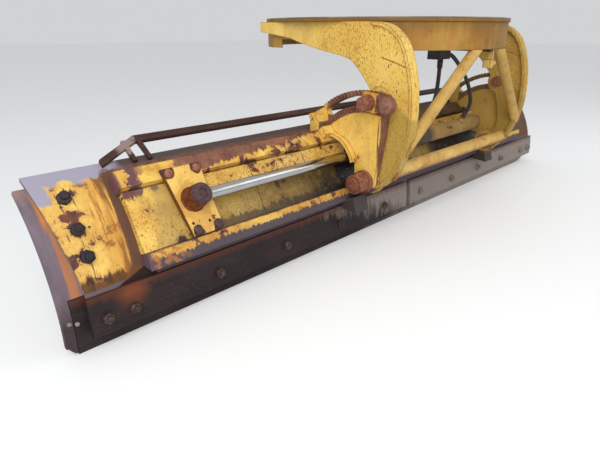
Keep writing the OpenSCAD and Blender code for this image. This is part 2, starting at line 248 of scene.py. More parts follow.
# %% [markdown]
# ### Patterns, masks and colours
#
# A mask says from 0 to 1 how much of a mark is there. Paint never ends in a straight line, so most
# masks start from a clean limit, such as a place along the blade, and noise pushes that limit to
# and fro. Masks are then multiplied or joined, and each lays one colour over what is below it.

# %% Pattern helpers


def marks(point, per_metre, detail, roughness=0.5, turn=(0, 0, 0)):
    """Noise with its count of marks per metre, one for all axes or one for each."""
    if isinstance(per_metre, tuple):
        point, per_metre = add("Mapping", point, Rotation=turn, Scale=per_metre), 1.0
    return add("TexNoise", point, Scale=per_metre, Detail=detail, Roughness=roughness)


def both(mask, *others):
    """Where all the masks hold."""
    for other in others:
        mask = add("Math multiply", mask, other, use_clamp=True)
    return mask


def either(mask, *others):
    """Where any of the masks holds."""
    for other in others:
        mask = add("Math maximum", mask, other, use_clamp=True)
    return mask


def over(mask, below, top, share=1.0):
    """Lays one colour over another where the mask holds. Colours are hex codes or outputs."""
    if share < 1:
        mask = both(mask, share)
    below, top = (linear(colour) if isinstance(colour, str) else colour for colour in (below, top))
    mixed = add("Mix", mask, data_type="RGBA", out=2)
    plug(mixed.node, {6: below, 7: top})
    return mixed


def lay(paint, mask, top, share=1.0):
    """Lays a colour on a finish where the mask holds."""
    paint.colour = over(mask, paint.colour, top, share)


def shades(value, codes, places):
    """Colours that melt into each other, each at its own place along the value."""
    shade = add("ValToRGB", value)
    stops = shade.node.color_ramp.elements
    for i, (code, place) in enumerate(zip(codes, places)):
        stop = stops[i] if i < 2 else stops.new(place)
        stop.position, stop.color = place, linear(code)
    return shade


def ragged(value, start, full, noise, amount):
    """A mask from where it starts to where it is full, with an edge that the noise makes ragged."""
    centred = add("Math subtract", noise, 0.5)
    moved = add("Math multiply_add", centred, amount, value)
    return add("MapRange", moved, start, full)


def within(noise, *limits):
    """A mask inside all limits: of what, where it starts and is full, and how ragged it is."""
    return both(*(ragged(value, start, full, noise, amount)
                  for value, start, full, amount in limits))


def leaning(first, slope, second):
    """A coordinate across a slanting edge: the first by its slope, and the second."""
    return add("Math multiply_add", first, slope, second)


def gap_to(value, at):
    """How far a coordinate is from one place."""
    gap = add("Math subtract", value, at)
    return add("Math absolute", gap)


def reach(first, second):
    """How far a point is from an axis, by its two distances from it."""
    flat = add("CombineXYZ", first, second)
    return add("VectorMath length", flat, out="Value")


# %% [markdown]
# ### Where a mark lies on the blade
#
# The blade is a slice of a cylinder that lies along the machine's X axis. A point on it is easier
# to name by how far it is along X, and by its angle up the curve, than by its height. This step
# works both out from Object coordinates, so that the bare strips follow the real pieces.

# %% Coordinates on the blade
curve_y, curve_z, curve_r = 0.216, -0.814, 0.491


def place_on_blade(tree):
    """x, y and z in metres, the angle up the curve in degrees, and how far out from its axis."""
    point = add("TexCoord", out="Object", tree=tree)
    x, y, z = add("SeparateXYZ", point).node.outputs
    back = add("Math subtract", curve_y, y)
    up = add("Math subtract", z, curve_z)
    turn = add("Math arctan2", up, back)
    angle = add("Math degrees", turn)
    far = reach(back, up)
    arc = add("Math multiply", turn, curve_r)
    return SimpleNamespace(point=point, x=x, y=y, z=z, angle=angle, far=far,
                           sheet=add("CombineXYZ", x, arc, far), unrolled=add("CombineXYZ", x, arc))


def spot(paint, x, angle, radius, noise, rough_edge):
    """A mask round one place on the blade, given by its X, its angle and its radius."""
    centre = Vector((x, math.radians(angle) * curve_r, 0))
    gap = add("VectorMath distance", paint.unrolled, centre, out="Value")
    share = add("Math divide", gap, radius)
    return ragged(share, 1.0, 0.9, noise, rough_edge)


# %% [markdown]
# ### Faded machine enamel
#
# Alkyd enamel over primer, sprayed at the works and left outdoors for years. The eye gets a warm
# yellow that has gone chalky in patches, small chips to brown-purple steel, thin scratches, and an
# orange wash around and below each chip.

# %% Painted steel
faded_yellow = ("#DBA84C", "#EABF5A", "#F5D680")
bright_yellow = ("#DDAC52", "#EEC769", "#F9DE92")


def enamel(name, chips=0.5, washes=0.4, specks=0.5, grime=0.0, pecks=0.3, pecked=None,
           yellow=faded_yellow, regions=None):
    """Yellow enamel with its own share of each kind of damage, and a piece's own wear and painted
    shade.
    """
    material, tree, shader = new_finish(name)
    paint = place_on_blade(tree)
    point = paint.point
    # Faded patches are 300 to 600 mm wide on the real paint.
    fade = marks(point, 2.4, 5, 0.6)
    paint.colour = shades(fade, yellow, (0.3, 0.5, 0.72))
    # Chips are 5 to 40 mm wide, and come in groups 300 mm wide.
    noise = add("TexNoise", point, Scale=15, Detail=9, Roughness=0.68, Distortion=0.4)
    groups = marks(point, 3.1, 3)
    level = add("Math multiply_add", groups, 0.35, noise)
    edge = 1.02 - 0.16 * chips
    chip = add("MapRange", level, edge - 0.16, edge - 0.14)
    wash = add("MapRange", level, edge - 0.36, edge - 0.13)
    # Specks are 2 to 5 mm wide, and two to three times as tall.
    fine = marks(point, (105, 95, 38), 4, 0.6)
    speck = add("MapRange", fine, 0.73 - 0.07 * specks, 0.75 - 0.07 * specks)
    # Rust runs down the paint, so its pattern is stretched ten times along Z.
    runs = marks(point, (28, 28, 2.8), 6, 0.6)
    run = add("MapRange", runs, 0.52, 0.78)
    wash = add("Math add", wash, run, use_clamp=True)
    lay(paint, wash, "#A8692B", washes)
    # Brown pecks, 3 mm wide and 8 mm tall, where grit has struck.
    grit = marks(point, (190, 210, 90), 3, 0.55, turn=(0.5, 0, 0))
    peck = ragged(grit, 0.68 - 0.12 * pecks, 0.71 - 0.12 * pecks, groups, 0.2)
    if pecked:
        peck = both(peck, pecked(paint, groups))
    lay(paint, peck, "#96622C", 0.8)
    dirt = marks(point, 7.0, 7, 0.7)
    dirt = add("MapRange", dirt, 0.62 - 0.22 * grime, 0.8 - 0.22 * grime)
    lay(paint, dirt, "#4B3A24", grime)
    # Worn corners: the paint goes first where two faces meet.
    rounded = add("Bevel", samples=4, Radius=0.005, tree=tree)
    true_normal = add("NewGeometry", out="True Normal", tree=tree)
    flat = add("VectorMath dot_product", rounded, true_normal, out="Value")
    corner = ragged(flat, 0.985, 0.93, noise, -0.14)
    chip = either(chip, speck, both(corner, 0.9))
    bare = marks(point, 34, 4)
    bare = shades(bare, ("#4A3338", "#7C4A33"), (0.35, 0.66))
    lay(paint, chip, bare)
    # Chalked paint has lost most of its gloss, and bare steel has none.
    paint.rough = add("MapRange", chip, 0, 1, 0.56, 0.82)
    paint.noise, paint.bare = noise, bare
    if regions:
        regions(paint)
    relief = add("Math multiply_add", chip, -1.0, fine)
    bump = add("Bump", Strength=0.35, Distance=0.0012, Height=relief)
    plug(shader, {"Base Color": paint.colour, "Roughness": paint.rough, "Normal": bump,
                  "Specular IOR Level": 0.25})
    return material


# %% [markdown]
# ### Bare and rusty steel
#
# Cutting edges are hot-rolled steel plate with no paint. They rust brown-black and the ground then
# polishes them grey. Castings and nuts rust to a dusty pinkish brown.

# %% Steel


def steel(name, codes, per_metre, roughness=(0.5, 0.8), regions=None):
    """Unpainted steel from its darkest colour to its lightest, with its marks per metre."""
    material, tree, shader = new_finish(name)
    paint = place_on_blade(tree)
    noise = marks(paint.point, per_metre, 8, 0.65)
    # Darker and lighter patches are about 250 mm wide.
    patches = marks(paint.point, 4.0, 5)
    relief = add("Math multiply_add", patches, 0.8, noise)
    bare = shades(add("MapRange", relief, 0.55, 1.25), codes, (0, 0.5, 1))
    # Grains of dust and scale are 4 mm wide.
    grains = marks(paint.point, 260, 2)
    paint.colour = over(add("MapRange", grains, 0.66, 0.82, 0, 0.3), bare, "#C9A493")
    paint.rough = add("MapRange", noise, 0.3, 0.7, *roughness)
    paint.noise, paint.bare = noise, bare
    if regions:
        regions(paint)
    bump = add("Bump", Strength=0.5, Distance=0.0015, Height=relief)
    plug(shader, {"Base Color": paint.colour, "Roughness": paint.rough, "Normal": bump,
                  "Metallic": 0.25, "Specular IOR Level": 0.3})
    return material


def rusted(noise):
    """The dusty pinkish brown of thick rust, with flecks that follow the piece's own box."""
    light = add("MapRange", noise, 0.35, 0.65)
    flecks = add("TexNoise", tree=noise.id_data, Scale=70, Detail=5, Roughness=0.7)
    flecks = add("MapRange", flecks, 0.55, 0.75)
    return over(flecks, over(light, "#59372E", "#95654E"), "#C99270", 0.7)


# %% [markdown]
# ### The blade's own wear
#
# The blade carries dirt every day, so its top strip is bare grey steel, its front is scoured clean
# and its lower edge is brown. The painted part is only what the work doesn't reach. Sliding dirt
# scratches it up the curve, so the noise is drawn out that way.

# %% Wear and painted shadows on the blade
bare_spots = [(-1.64, 41.5, 0.007), (-1.605, 45.5, 0.016), (-1.592, 33.0, 0.005),
              (-1.6, 27.5, 0.01)]


def blade_wear_and_shadow(paint):
    noise = paint.noise
    scratch = marks(paint.sheet, (60, 5, 1), 7, 0.7)
    worn = both(add("MapRange", scratch, 0.6, 0.64), within(scratch, (paint.x, -1.4, -1.6, 0.1)))
    lay(paint, worn, paint.bare)
    # An orange wash spreads from the rail's end, where the steel is purple, and the foot is burnt.
    lay(paint, within(scratch, (paint.x, -1.6, -1.525, 0.1)), "#C98A34", 0.6)
    purple = within(scratch, (paint.x, -1.53, -1.505, 0.06))
    low = within(scratch, (paint.angle, 17.5, 16.0, 12.0))
    burnt = over(add("MapRange", scratch, 0.35, 0.65), "#331F1B", "#6A3A20")
    dirty = over(low, over(purple, "#A86C2C", "#4C3230"), burnt)
    rust = either(within(scratch, (paint.x, -1.535, -1.515, 0.16)), low)
    lay(paint, rust, dirty, 0.92)
    # The bare strip along the top is lilac at the left end. Further on it is dark, as painted
    # shadow under the guard, and red with rust.
    corner = both(within(scratch, (paint.x, -1.652, -1.664, 0.03)),
                  within(noise, (paint.angle, 42.5, 43.5, 5.0)))
    grey = either(within(noise, (paint.angle, 49.6, 50.6, 14.0)), corner)
    guard_shadow_part = within(noise, (paint.x, -1.475, -1.42, 0.1))
    strip = over(guard_shadow_part, "#9C97A6", "#4E423E")
    red = both(within(scratch, (paint.angle, 53.0, 50.5, 5.0)), guard_shadow_part)
    strip = over(red, strip, rusted(scratch), 0.8)
    lay(paint, grey, strip)
    below = within(noise, (paint.angle, 13.2, 12.4, 0.8))
    lay(paint, below, "#6C6168")
    # Painted shadow: the corner below the lower rail's left end, where the rail shades the blade,
    # is near-black.
    lean = leaning(paint.x, -45.0, paint.angle)
    corner = within(scratch, (lean, 82.4, 81.8, 1.2), (paint.x, -1.572, -1.562, 0.01),
                    (paint.x, -1.44, -1.45, 0.01))
    lay(paint, corner, "#2A1B17")
    for x, angle, size in bare_spots:
        lay(paint, spot(paint, x, angle, size, scratch, 5.0), paint.bare)
    # The front face is nearer to the curve's axis than the middle of the plate.
    front = add("MapRange", paint.far, 0.4905, 0.488)
    scour = add("MapRange", scratch, 0.25, 0.75)
    lay(paint, front, over(scour, "#6A625F", "#A39C97"))
    paint.rough = add("Mix", either(grey, rust, front), A=paint.rough, B=0.62)


# %% [markdown]
# ### Wear on the cover and the rails
#
# The cylinder's gland weeps oil, and the oil catches dust. So the cover below it is black, the rail
# between the arms is caked, and only the left part of both, out of its reach, still shows yellow.

# %% Wear and painted shade on the cover
panel_seams = (-1.0115, -0.748)


def cover_wear_and_shade(paint):
    point = paint.point
    spots = marks(point, 22, 6)
    # Black grease lies on the lower half, up to X 0.6 m, and is thinner from X -0.4 to 0.1 m.
    thin = within(spots, (paint.x, -0.46, -0.38, 0.2), (paint.x, 0.16, 0.04, 0.2))
    right = within(spots, (paint.x, 0.7, 0.58, 0.2))
    right = add("Math subtract", right, both(thin, 0.45), use_clamp=True)
    grease = within(spots, (paint.x, -1.3, -0.62, 0.5), (paint.angle, 34.5, 29.0, 14.0))
    # It is black and oily all the way up beside the gland.
    wet = within(spots, (paint.x, -0.68, -0.6, 0.22), (paint.angle, 35.0, 32.0, 3))
    grease = either(both(grease, right, 0.95), both(wet, right))
    # A worn grey-brown line where dirt rubs along the cover's lower edge.
    streak = marks(paint.sheet, (70, 9, 1), 6, 0.7)
    foot = both(within(streak, (paint.angle, 22.6, 22.0, 9.0)),
                within(spots, (paint.x, -1.22, -1.19, 0.1)))
    lay(paint, foot, "#5C4F4A")
    # A ragged bald patch and an olive film at the left end.
    patch = marks(point, 13, 7)
    bald = within(streak, (patch, 0.52, 0.54, 0.1), (paint.x, -1.365, -1.37, 0.1),
                  (paint.angle, 38.0, 38.6, 9.0))
    lay(paint, bald, "#6A4440")
    olive = within(patch, (paint.x, -1.43, -1.37, 0.2), (paint.x, -1.3, -1.34, 0.05))
    lay(paint, olive, "#8F8256", 0.45)
    # Brown painted shade right of the stud, below the rod.
    oil_film_and_shade = within(patch, (paint.x, -1.22, -1.2, 0.05), (paint.angle, 33.0, 31.0, 8.0),
                  (paint.x, -0.55, -0.75, 0.2))
    lay(paint, oil_film_and_shade, "#86692F", 0.5)
    lay(paint, grease, "#201C1B")
    # Dried pale grease in lumps on the black.
    lumps = marks(point, 70, 5, 0.7)
    lumps = both(ragged(lumps, 0.6, 0.66, spots, 0.1), grease)
    lay(paint, lumps, "#8D8A85", 0.6)
    lay(paint, spot(paint, -1.352, 19.6, 0.022, paint.noise, 3.0), "#4A3632")
    # The paint has cracked along two seams, in lines 4 mm wide.
    for seam in panel_seams:
        crack = add("MapRange", gap_to(paint.x, seam), 0.0022, 0.00088)
        lay(paint, crack, "#3A2A1C", 0.85)
    paint.rough = add("Mix", grease, A=paint.rough, B=0.45)


# %% Wear on the rails


def rail_wear(paint):
    noise = paint.noise
    # Bare from top to bottom at X -1.3 m, and only along the top edge by X -0.6 m.
    lift = leaning(paint.x, -8.2, paint.angle)
    streak = marks(paint.sheet, (70, 9, 1), 6, 0.7)
    worn = both(within(streak, (lift, 51.5, 51.9, 8.0)),
                within(noise, (paint.x, -1.3, -1.27, 0.25)))
    lay(paint, worn, rusted(noise))
    patch = marks(paint.point, 11, 7)
    tip = within(noise, (patch, 0.5, 0.52, 0.06), (paint.x, -1.375, -1.43, 0.05))
    end = within(noise, (paint.x, -1.474, -1.484, 0.03))
    lay(paint, either(tip, end), "#6A4648")
    # Leaking oil and dust cake the rail between the arms.
    caked = within(patch, (paint.x, -0.46, -0.4, 0.2), (paint.x, 0.66, 0.54, 0.2))
    cake = over(add("MapRange", patch, 0.4, 0.65), "#231A16", "#54443A")
    lay(paint, caked, cake, 0.9)


def low_rail_wear(paint):
    """Both long edges are worn bare, and the left tip is flecked with orange rust."""
    noise = paint.noise
    streak = marks(paint.sheet, (70, 9, 1), 6, 0.7)
    edges = either(within(streak, (paint.angle, 17.2, 16.8, 5.5)),
                   within(streak, (paint.angle, 19.2, 19.6, 3.5)))
    lay(paint, edges, "#52464A")
    flecks = marks(paint.point, 60, 6)
    tip = within(noise, (paint.x, -1.33, -1.4, 0.12), (flecks, 0.47, 0.55, 0.1))
    lay(paint, tip, "#A3683E", 0.85)
    lay(paint, within(noise, (paint.x, -1.462, -1.478, 0.02)), "#5E4A50")


# %% [markdown]
# ### Wear on the anchor, the edges and the ends
#
# Water stands on ledges and runs from bolts, so rust is orange and fresh there. The ground grinds
# the cutting edges, most of all on the right, and leaves them pale.

# %% Wear on the anchor plate
anchor_bolt_stains = [(-1.31, 20.5), (-1.235, 20.5), (-1.235, 42.5), (-1.334, 42.5)]
bracket_holes = [(-1.316, 24.2), (-1.258, 23.6)]


def plate_wear(paint):
    """Rust weeps from the stud and the bolts, and two small holes are left from an old bracket."""
    noise = paint.noise
    stain = either(spot(paint, -1.272, 25.0, 0.042, noise, 2.5),
                   spot(paint, -1.286, 30.5, 0.06, noise, 2.0))
    lay(paint, stain, "#B97830", 0.5)
    # Rust creeps in from the plate's left edge, which leans 1 mm to the left for each degree up.
    lean = leaning(paint.angle, 0.00099, paint.x)
    lay(paint, within(noise, (lean, -1.305, -1.3085, 0.01)), "#54300F", 0.95)
    for x, angle in anchor_bolt_stains:
        lay(paint, spot(paint, x, angle, 0.021, noise, 2.0), "#50332F")
    for x, angle in bracket_holes:
        lay(paint, spot(paint, x, angle, 0.0048, noise, 1.0), "#1E1612")


# %% Wear on the edges and the ends, and a painted highlight on the guard


def edge_wear(paint):
    noise = paint.noise
    # Orange rust where water stands below the lower rail's left end.
    near = gap_to(paint.x, -1.535)
    wet = within(noise, (near, 0.06, 0.015, 0.09), (paint.angle, 3.0, 10.0, 6.0))
    lay(paint, wet, "#8E4C26", 0.8)
    # Ground pale on the right, along an edge that leans 35 mm to the left for each degree up.
    streak = marks(paint.sheet, (60, 10, 1), 6, 0.7)
    lean = leaning(paint.angle, 0.035, paint.x)
    lay(paint, within(streak, (lean, -0.42, -0.1, 0.9)), "#93887F", 0.9)
    lay(paint, within(streak, (paint.angle, 8.6, 11.0, 4.0)), "#5E3424", 0.7)
    shine = within(noise, (paint.angle, -5.6, -7.0, 2.0), (paint.x, -0.5, 0.1, 0.2))
    lay(paint, shine, "#8E8684", 0.6)
    # The front is scoured clean in long scratches.
    front = add("MapRange", paint.far, 0.4575, 0.4565)
    scour = marks(paint.sheet, (90, 3, 1), 6, 0.7)
    scour = over(add("MapRange", scour, 0.3, 0.7), "#6E645E", "#A8A19B")
    lay(paint, front, scour, 0.9)


def end_wear(paint):
    """Fresh orange rust in a narrow streak beside the blade's edge, and a pink top corner."""
    noise = paint.noise
    inner = (paint.x, -1.655, -1.668, 0.02)
    line = within(noise, (paint.x, -1.693, -1.688, 0.01), inner)
    orange = within(noise, (paint.x, -1.702, -1.694, 0.012), inner, (paint.angle, 34.0, 39.0, 6.0),
                    (paint.angle, 51.0, 48.0, 3.0))
    orange = either(orange, both(line, 0.55))
    lay(paint, orange, "#D08238")
    lay(paint, within(noise, (paint.angle, 45.0, 50.0, 6.0)), "#A5897F", 0.6)
    lay(paint, within(noise, (paint.angle, 14.0, 2.0, 8.0)), "#33272A", 0.85)


def guard_highlight(paint):
    """A painted highlight along the top of the short slope at the left end of the bar."""
    rise = leaning(paint.x, -0.38, paint.z)
    painted_highlight = within(paint.noise, (paint.x, -1.34, -1.35, 0.02), (paint.x, -1.425, -1.405, 0.03),
                    (rise, 0.1235, 0.1275, 0.004))
    lay(paint, painted_highlight, "#A48E88", 0.75)


# %% [markdown]
# ### Wear on the arms, the quadrants and the circle, and painted shade on the arms and quadrants
#
# These pieces carry the blade. Grease is pumped into every pin and creeps out with the dust in it.
# The olive tints on their paint are painted shade, where the quadrants and the machine above shade
# them. The teeth and the circle's top slide on other steel and stay bare.

# %% Wear and painted shade on the arms
pivot_y, pivot_z = -0.349, -0.606
arm_scratch = [(-0.37, -0.14), (-0.421, -0.153), (-0.476, -0.17)]


def near_line(paint, first, second, width):
    """A mask of what lies within a width of the line from one (y, z) point to another."""
    flat = add("CombineXYZ", paint.y, paint.z)
    start, run = Vector((*first, 0)), Vector((*second, 0)) - Vector((*first, 0))
    along = add("VectorMath subtract", flat, start)
    share = add("VectorMath dot_product", along, run / run.length_squared, out="Value")
    share = add("Math add", share, 0.0, use_clamp=True)
    foot = add("VectorMath scale", run, Scale=share)
    gap = add("VectorMath distance", along, foot, out="Value")
    return add("MapRange", gap, width, width * 0.5)


def arm_wear_and_shade(paint):
    """Painted olive shadow of the quadrant below the pivot, painted shade on the right arm's inner
    side, and an old scratch.
    """
    noise = paint.noise
    # Painted shadow: the quadrant shades the arm's lower part, so it is olive below a slanting
    # line.
    lean = leaning(paint.y, -0.74, paint.z)
    low = within(noise, (lean, 0.036, 0.022, 0.02), (paint.y, -0.372, -0.384, 0.02))
    lay(paint, low, "#9A7F38", 0.62)
    # Painted shade: the machine above shades the right arm's inner side.
    oil_film_and_shade = within(noise, (paint.x, 0.44, 0.45, 0.001), (paint.x, 0.522, 0.516, 0.004))
    lay(paint, oil_film_and_shade, "#86692C", 0.5)
    for first, second in zip(arm_scratch, arm_scratch[1:]):
        lay(paint, near_line(paint, first, second, 0.0035), "#8A5A28", 0.8)


def on_the_bend(paint, noise):
    """Grit that the blade throws up strikes the bend of the arm and leaves its front end clean."""
    return within(noise, (paint.y, 0.02, -0.2, 0.3))


# %% Wear and painted shade on the quadrants, and wear on the clamps


def quadrant_wear_and_shade(paint):
    """Rust on both rows of teeth and down the rear edge, a dark lower shoe with grease and painted
    shade, and painted shade on the right quadrant's inner face.
    """
    noise = paint.noise
    back = add("Math subtract", paint.y, pivot_y)
    rise = add("Math subtract", paint.z, pivot_z)
    span = reach(back, rise)
    teeth = within(noise, (span, 0.268, 0.271, 0.008), (paint.y, -0.15, -0.156, 0.02))
    # The rear edge runs straight from (-0.398, -0.596) up to (-0.433, -0.268), and its rust tapers.
    streak = marks(paint.point, (70, 70, 6), 5)
    behind = add("Math add", paint.y, 0.4615)
    taper = add("MapRange", paint.z, -0.6, -0.4, 0.016, 0.0)
    edge = add("Math add", leaning(paint.z, 0.1067, behind), taper)
    rear = ragged(edge, 0.016, 0.012, streak, 0.06)
    lay(paint, either(teeth, rear), rusted(noise))
    # The lower shoe is dark with grease and with painted shade, where it sits under the lower rail.
    lay(paint, within(noise, (paint.angle, 17.4, 16.6, 3.0)), "#433A38")
    # Painted shade: olive on the right quadrant's inner face, which the machine above shades.
    oil_film_and_shade = within(noise, (paint.x, 0.44, 0.46, 0.01), (paint.z, -0.688, -0.682, 0.006))
    lay(paint, oil_film_and_shade, "#6C5426", 0.55)


def clamp_wear(paint):
    """The block behind the clamp's nut has kept some yellow."""
    out = add("Math absolute", paint.x)
    noise = paint.noise
    kept = within(noise, (noise, 0.62, 0.56, 0.1), (out, 0.57, 0.5715, 0.001),
                  (out, 0.5935, 0.5925, 0.001))
    lay(paint, kept, "#DDA545")


# %% Wear on the barrel, the tubes and the circle


def barrel_wear(paint):
    """Oil from the gland has blackened the barrel up to the middle of the machine."""
    lay(paint, within(paint.noise, (paint.x, 0.08, 0.02, 0.12)), "#3B3836", 0.88)


def tube_wear(paint):
    """The lower side of the tube between the arms' feet, 0.566 m down, has gone to rust."""
    streak = marks(paint.point, (60, 60, 8), 6)
    lay(paint, within(streak, (paint.z, -0.57, -0.58, 0.03)), "#8C5C34", 0.8)


def circle_wear(paint):
    # Grease creeps down from the worn top face, in a brown band with runs below it.
    runs = marks(paint.point, (26, 26, 1.5), 6)
    lay(paint, add("MapRange", runs, 0.5, 0.66, 0, 0.6), "#B0702A")
    lay(paint, within(runs, (paint.z, -0.075, 0.0, 0.16)), "#6E5026", 0.75)
    # The top slides on shoes, so its wear and its grease lie in rings round the machine's axis.
    round_it = add("Math arctan2", paint.x, paint.y)
    rings = add("CombineXYZ", round_it, reach(paint.x, paint.y))
    rings = marks(rings, (2.5, 160, 1), 5, 0.6)
    top = over(add("MapRange", rings, 0.35, 0.65), "#4A403B", "#8E8680")
    top = over(ragged(paint.noise, 0.6, 0.66, rings, 0.1), top, "#7C5236", 0.7)
    worn = within(paint.noise, (paint.z, -0.0045, -0.0025, 0.004))
    lay(paint, worn, top)
    paint.rough = add("Mix", worn, A=paint.rough, B=0.42)


# %% [markdown]
# ### The finishes themselves
#
# Each line is one finish: how much damage it has had, from 0 for none, and where its own wear and
# painted shade lie.
# Steels go from their darkest colour to their lightest, with their count of marks per metre.

# %% Enamels and steels
enamel_arm = enamel("faded_yellow_enamel", chips=0.1, washes=0.35, specks=0.8, pecks=1.1,
                    pecked=on_the_bend, yellow=("#D3A548", "#E5BE5C", "#F1D583"), regions=arm_wear_and_shade)
enamel_quadrant = enamel("scuffed_yellow_enamel", chips=0.2, washes=0.3, specks=0.6,
                         regions=quadrant_wear_and_shade)
enamel_plate = enamel("anchor_yellow_enamel", chips=0.45, washes=0.35, yellow=bright_yellow,
                      regions=plate_wear)
enamel_blade = enamel("scratched_yellow_enamel", chips=0.75, washes=0.5, specks=0.6,
                      yellow=bright_yellow, regions=blade_wear_and_shadow)
enamel_cover = enamel("greasy_yellow_enamel", washes=0.5, specks=0.6, pecks=0.9,
                      yellow=("#D3A24A", "#E6BE5E", "#F5D888"), regions=cover_wear_and_shade)
enamel_rail = enamel("rail_yellow_enamel", chips=0.85, washes=0.6, regions=rail_wear)
enamel_low_rail = enamel("low_rail_yellow_enamel", washes=0.6, specks=0.6, grime=0.3,
                         yellow=("#B98C42", "#D6A94F", "#E8C266"), regions=low_rail_wear)
enamel_circle = enamel("circle_yellow_enamel", chips=0.2, washes=0.5, grime=0.25,
                       yellow=("#6E5224", "#98742F", "#BE964C"), regions=circle_wear)
enamel_barrel = enamel("oily_yellow_enamel", chips=0.25, washes=0.5, grime=0.5,
                       yellow=("#8C7548", "#AC925C", "#C8AD76"), regions=barrel_wear)
enamel_brace = enamel("tube_yellow_enamel", chips=0.2, washes=0.5, grime=0.35,
                      yellow=("#AC8A4A", "#CCA85C", "#E6C878"), regions=tube_wear)

forged_brown = ("#4A2C24", "#85503C", "#B98064")
clamp_steel = steel("painted_clamp_steel", forged_brown, 90, regions=clamp_wear)
nut_steel = steel("rusted_forged_steel", forged_brown, 90)
edge_nut_steel = steel("muddy_forged_steel", ("#241A1B", "#44332F", "#7A675D"), 90)
# Pale steel that paints in the highlight on small nuts and bolt ends.
pale_highlit_nut_steel = steel("pale_highlit_forged_steel", ("#4A403D", "#857A73", "#B8AEA6"), 90)
dark_nut_steel = steel("grimy_forged_steel", ("#1E1B1D", "#332C2E", "#5A4A46"), 90)
dome_steel = steel("pink_rusted_casting", ("#3F241E", "#764A3C", "#A07464"), 60)
orange_steel = steel("freshly_rusted_steel", ("#32190F", "#6A3819", "#A4602A"), 70)
cap_steel = steel("purple_brown_steel", ("#2A1D22", "#503A3E", "#80625C"), 120)
greasy_steel = steel("black_greased_steel", ("#0F0E10", "#1D1B1C", "#3A3736"), 50,
                     roughness=(0.3, 0.5))
edge_steel = steel("hot_rolled_edge_steel", ("#1C1516", "#2B2123", "#3D302E"), (4, 60, 60),
                   regions=edge_wear)
end_steel = steel("weathered_plate_steel", ("#5A4A52", "#75666E", "#8A7D84"), (30, 8, 8),
                  regions=end_wear)
guard_steel = steel("rusted_flat_bar", ("#2E1D19", "#48302A", "#66453C"), (8, 60, 60),
                    regions=guard_highlight)
print("enamels and steels:", len(bpy.data.materials))

# %% [markdown]
# ### Chrome and rubber
#
# A piston rod is ground steel with a hard chrome plate, so it mirrors what is around it. A metal
# keeps the default IOR, and its colour is its reflection. Near the gland it has a film of oil. A
# hose is black rubber over steel wire, grey with fine dust.

# %% Chrome
chrome_rod, tree, shader = new_finish("hard_chrome_plate")
paint = place_on_blade(tree)
oil_film_and_shade = marks(paint.point, 9, 5)
oil = within(oil_film_and_shade, (paint.x, -0.86, -0.66, 0.35))
clean = over(oil_film_and_shade, "#CDD0D3", "#A29D94")
plug(shader, {"Base Color": over(oil, clean, "#8C7A48", 0.75), "Metallic": 1.0,
              "Roughness": add("MapRange", oil_film_and_shade, 0.3, 0.7, 0.12, 0.30)})

# %% Hose rubber
hose_rubber, tree, shader = new_finish("hydraulic_hose_rubber")
dust = add("TexNoise", add("TexCoord", out="Object", tree=tree), Scale=60, Detail=6)
plug(shader, {"Base Color": over(dust, "#141416", "#3A3836"), "Roughness": 0.6,
              "Normal": add("Bump", Strength=0.3, Distance=0.0006, Height=dust)})

# %% [markdown]
# ## Dress the CAD nodes
#
# A node whose shape is right stays as it is and only gets its finish. The two hose nodes are
# replaced further on. The nodes that aren't named here, the pins, are plain rusty steel.

# %% Finishes on the nodes
dressed = [
    (enamel_circle, "circle_ring"), (enamel_arm, "arm_left arm_right"),
    (enamel_brace, "cross_tube brace_left brace_right brace_lug"),
    (enamel_quadrant, "quadrant_left quadrant_right"), (enamel_barrel, "cylinder_barrel"),
    (enamel_blade, "blade_plate"), (enamel_rail, "upper_rail"), (enamel_low_rail, "lower_rail"),
    (enamel_cover, "back_plate"), (enamel_plate, "anchor_plate"), (chrome_rod, "piston_rod"),
    (dome_steel, "clamp_keeper_left clamp_keeper_right"), (greasy_steel, "cylinder_gland"),
    (clamp_steel, "clamp_bolt_left clamp_bolt_right"), (orange_steel, "rod_eye ball_stud"),
    (edge_steel, "edge_left edge_right back_strip_left back_strip_right"),
    (end_steel, "end_plate_left end_plate_right"), (guard_steel, "top_guard"),
    (hose_rubber, "manifold"),
]
finishes = {name: finish for finish, names in dressed for name in names.split()}
for name, node in nodes.items():
    node.data.materials.clear()
    node.data.materials.append(finishes.get(name, nut_steel))
print("plain rusty steel:", sorted(set(nodes) - set(finishes)))

# %% [markdown]
# ## The hoses
#
# Two hydraulic hoses feed the side-shift cylinder. The object holds them at both ends: they leave
# the swivel block under the circle and go into the barrel's ports. A hose is a curve first, because
# a curve keeps its length and its round section, and then a mesh.

# %% Hoses
hose_radius = 0.009
steps_per_point = 4
route_a = [(0.014, -0.308, -0.1765), (0.014, -0.308, -0.212), (0.006, -0.312, -0.256),
           (-0.015, -0.321, -0.308), (-0.046, -0.33, -0.349), (-0.084, -0.335, -0.383),
           (-0.124, -0.329, -0.41), (-0.15, -0.311, -0.43), (-0.15, -0.29114, -0.46486)]
route_b = [(0.0508, -0.308, -0.15), (0.084, -0.308, -0.15), (0.122, -0.311, -0.163),
           (0.166, -0.318, -0.195), (0.212, -0.326, -0.238), (0.256, -0.332, -0.288),
           (0.292, -0.333, -0.34), (0.32, -0.327, -0.388), (0.33, -0.311, -0.43),
           (0.33, -0.29114, -0.46486)]


